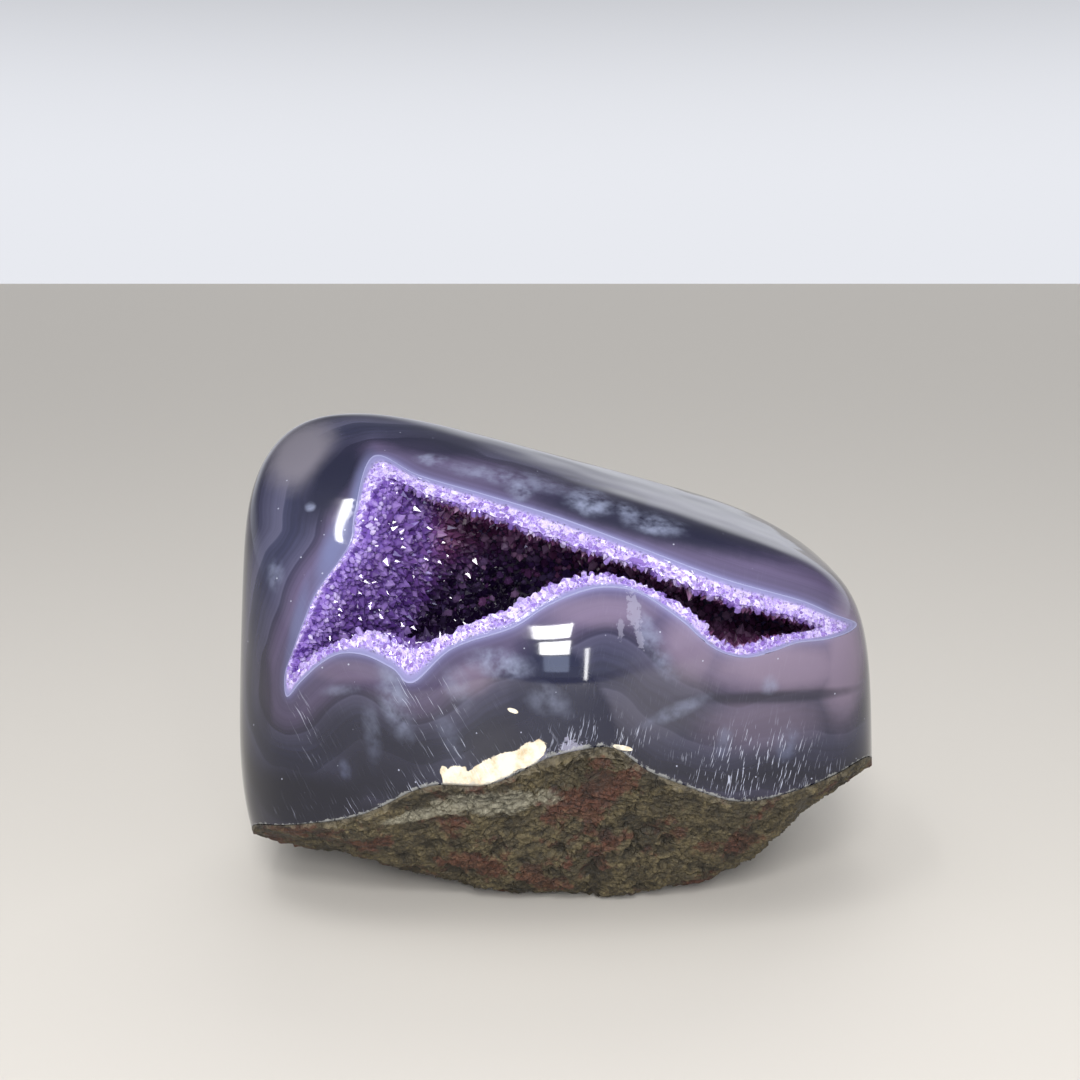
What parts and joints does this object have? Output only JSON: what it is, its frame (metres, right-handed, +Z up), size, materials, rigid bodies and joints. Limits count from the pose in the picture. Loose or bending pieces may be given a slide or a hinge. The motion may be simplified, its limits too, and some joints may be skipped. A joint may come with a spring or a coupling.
{
  "type": "amethyst geode",
  "caption": "Freestanding polished agate geode with a crystal-lined open hollow in its front and a rough natural rind underneath, which it rests on.",
  "frame": {"origin": "on the small natural flat that the stone rests on, near its middle", "axes": "+X to the right along the stone's length as seen from the front, +Y away from the open front, +Z up"},
  "size_m": [0.1893, 0.1198, 0.1368],
  "materials": {
    "polished_agate": "banded grey and mauve agate, ground and polished to a high gloss",
    "amethyst": "purple quartz crystals with bright natural faces, paler where they were cut flush at the mouth",
    "weathered_rind": "rough matt olive-brown natural skin with rust-red patches and pits"
  },
  "bodies": {
    "root": {"agate_shell": "polished_agate", "amethyst_crust": "amethyst", "rough_rind": "weathered_rind"}
  },
  "joints": []
}
